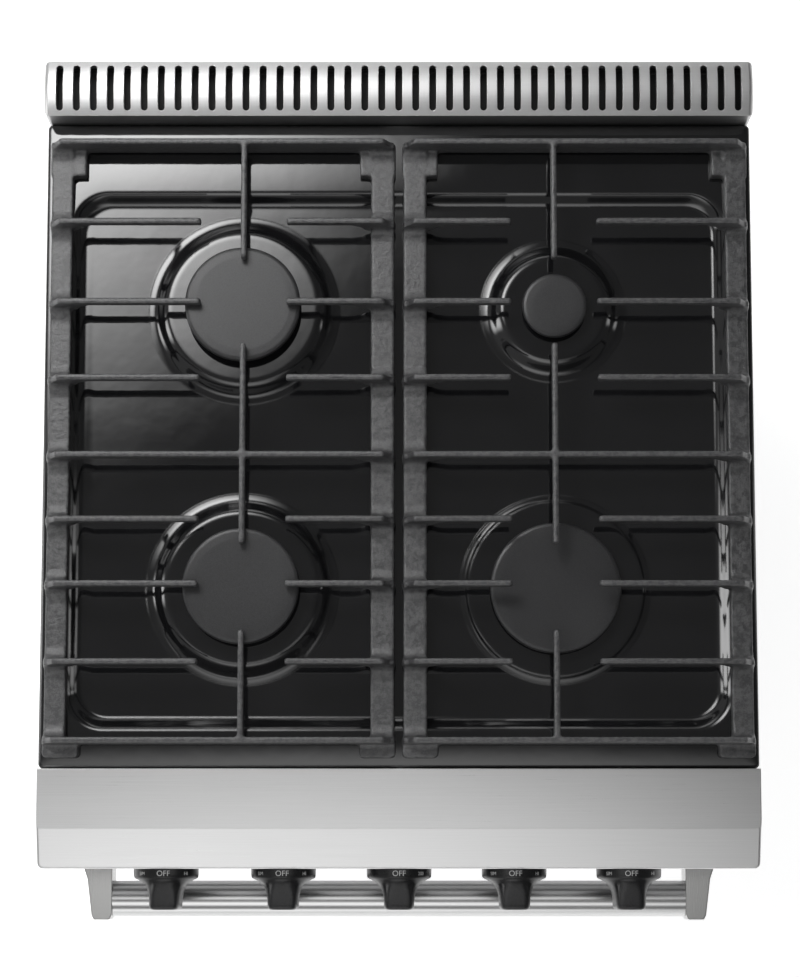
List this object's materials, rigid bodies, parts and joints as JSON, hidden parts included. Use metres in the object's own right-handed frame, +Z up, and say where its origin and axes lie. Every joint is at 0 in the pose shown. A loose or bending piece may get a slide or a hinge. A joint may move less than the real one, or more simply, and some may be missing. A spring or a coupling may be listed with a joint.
{
  "type": "gas range",
  "caption": "Freestanding gas range with cast-iron grates, sealed burners, stainless landing ledge, low vented backguard, push-and-turn knobs and a drop-down oven door",
  "frame": {"origin": "on the floor under the centre of the range's bounding box", "axes": "+X to the right as seen from the front, the door and knobs face -Y, +Z is up"},
  "size_m": [0.606, 0.732, 0.94],
  "materials": {
    "stainless": "brushed",
    "galvanised": "dull zinc",
    "enamel": "gloss porcelain enamel",
    "cast_iron": "sand-cast, matt black",
    "burner_black": "matt black",
    "cap_enamel": "matt porcelain enamel",
    "ceramic": "glazed",
    "pipe": "plain",
    "brass": "machined",
    "oven_enamel": "speckled enamel",
    "insulation": "glass wool",
    "chrome": "polished",
    "lamp_glass": "clear",
    "door_glass": "tinted",
    "gasket": "matt",
    "knob_black": "satin"
  },
  "bodies": {
    "range_body": {"side_panel_left": "stainless", "side_panel_right": "stainless", "back_panel": "galvanised", "base_pan": "galvanised", "levelling_legs": "stainless", "kick_panel": "stainless", "landing_ledge": "stainless", "control_panel": "stainless", "cooktop": "enamel", "backguard": "stainless", "burner_head_left_rear": "burner_black", "burner_head_right_rear": "burner_black", "burner_head_left_front": "burner_black", "burner_head_right_front": "burner_black", "burner_cap_left_rear": "cap_enamel", "burner_cap_right_rear": "cap_enamel", "burner_cap_left_front": "cap_enamel", "burner_cap_right_front": "cap_enamel", "spark_electrodes": "ceramic", "injector_holders": "galvanised", "gas_manifold": "pipe", "gas_valves": "brass", "oven_liner": "oven_enamel", "oven_insulation": "insulation", "oven_front_frame": "oven_enamel", "oven_floor": "oven_enamel", "bake_burner": "pipe", "broil_burner": "pipe", "rack_guides": "chrome", "oven_racks": "chrome", "oven_lamp": "lamp_glass", "hinge_receivers": "pipe", "gas_regulator": "pipe", "power_cord_gland": "gasket", "back_panel_screws": "galvanised"},
    "door": {"door_skin": "stainless", "door_glass_outer": "door_glass", "door_glass_inner": "door_glass", "door_liner": "oven_enamel", "door_gasket": "gasket", "hinge_knuckles": "pipe", "handle_tube": "stainless", "handle_brackets": "stainless"},
    "grate_left_body": {"grate_left": "cast_iron"},
    "grate_right_body": {"grate_right": "cast_iron"},
    "collar_1": {"valve_collar_1": "brass"},
    "dial_1": {"valve_stem_1": "pipe", "knob_1": "knob_black"},
    "collar_2": {"valve_collar_2": "brass"},
    "dial_2": {"valve_stem_2": "pipe", "knob_2": "knob_black"},
    "collar_3": {"valve_collar_3": "brass"},
    "dial_3": {"valve_stem_3": "pipe", "knob_3": "knob_black"},
    "collar_4": {"valve_collar_4": "brass"},
    "dial_4": {"valve_stem_4": "pipe", "knob_4": "knob_black"},
    "collar_5": {"valve_collar_5": "brass"},
    "dial_5": {"valve_stem_5": "pipe", "knob_5": "knob_black"}
  },
  "joints": [
    {"name": "oven_door_hinge", "type": "hinge", "parent": "range_body", "child": "door", "pos_m": [0, -0.27, 0.118], "axis": [1, 0, 0], "range_deg": [0, 88], "stiffness_Nm_per_rad": 34, "springref_deg": -25.78},
    {"name": "grate_left_lift", "type": "slide", "parent": "range_body", "child": "grate_left_body", "axis": [0, 0, 1], "range_m": [0, 0.08]},
    {"name": "grate_right_lift", "type": "slide", "parent": "range_body", "child": "grate_right_body", "axis": [0, 0, 1], "range_m": [0, 0.08]},
    {"name": "left_rear_burner_knob_push", "type": "slide", "parent": "range_body", "child": "collar_1", "axis": [0, 1, 0], "range_m": [0, 0.004], "stiffness_N_per_m": 1500, "springref_m": -0.002},
    {"name": "left_rear_burner_knob_turn", "type": "hinge", "parent": "collar_1", "child": "dial_1", "pos_m": [-0.1993, -0.3, 0.854], "axis": [0, 1, 0], "range_deg": [-270, 0]},
    {"name": "left_front_burner_knob_push", "type": "slide", "parent": "range_body", "child": "collar_2", "axis": [0, 1, 0], "range_m": [0, 0.004], "stiffness_N_per_m": 1500, "springref_m": -0.002},
    {"name": "left_front_burner_knob_turn", "type": "hinge", "parent": "collar_2", "child": "dial_2", "pos_m": [-0.0988, -0.3, 0.854], "axis": [0, 1, 0], "range_deg": [-270, 0]},
    {"name": "oven_knob_push", "type": "slide", "parent": "range_body", "child": "collar_3", "axis": [0, 1, 0], "range_m": [0, 0.004], "stiffness_N_per_m": 1500, "springref_m": -0.002},
    {"name": "oven_knob_turn", "type": "hinge", "parent": "collar_3", "child": "dial_3", "pos_m": [0.0002, -0.3, 0.854], "axis": [0, 1, 0], "range_deg": [-270, 0]},
    {"name": "right_front_burner_knob_push", "type": "slide", "parent": "range_body", "child": "collar_4", "axis": [0, 1, 0], "range_m": [0, 0.004], "stiffness_N_per_m": 1500, "springref_m": -0.002},
    {"name": "right_front_burner_knob_turn", "type": "hinge", "parent": "collar_4", "child": "dial_4", "pos_m": [0.0988, -0.3, 0.854], "axis": [0, 1, 0], "range_deg": [-270, 0]},
    {"name": "right_rear_burner_knob_push", "type": "slide", "parent": "range_body", "child": "collar_5", "axis": [0, 1, 0], "range_m": [0, 0.004], "stiffness_N_per_m": 1500, "springref_m": -0.002},
    {"name": "right_rear_burner_knob_turn", "type": "hinge", "parent": "collar_5", "child": "dial_5", "pos_m": [0.197, -0.3, 0.854], "axis": [0, 1, 0], "range_deg": [-270, 0]}
  ]
}
